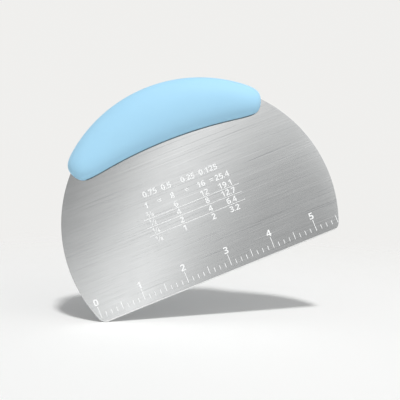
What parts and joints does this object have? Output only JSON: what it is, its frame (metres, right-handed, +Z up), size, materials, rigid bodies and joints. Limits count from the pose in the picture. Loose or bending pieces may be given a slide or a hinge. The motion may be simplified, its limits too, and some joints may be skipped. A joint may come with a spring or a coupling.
{
  "type": "dough scraper",
  "caption": "Half-round steel dough scraper with a long straight edge, an etched inch ruler and a soft crescent grip over the top of its rim, riveted to a hidden core.",
  "frame": {"origin": "middle of the straight edge, at the blade's middle plane, which is the bottom of the object", "axes": "+X along the straight edge, to the right as seen from the etched front face; +Y through the blade, away from the etched face; +Z up from the straight edge to the grip"},
  "size_m": [0.1524, 0.019, 0.1113],
  "materials": {
    "blade_steel": "satin, brushed along the straight edge",
    "soft_grip": "matt soft touch",
    "core_plastic": "as moulded",
    "rivet_metal": "plain"
  },
  "bodies": {
    "root": {"blade": "blade_steel", "grip": "soft_grip", "core_front": "core_plastic", "core_rear": "core_plastic", "rivet_left": "rivet_metal", "rivet_middle": "rivet_metal", "rivet_right": "rivet_metal"}
  },
  "joints": []
}
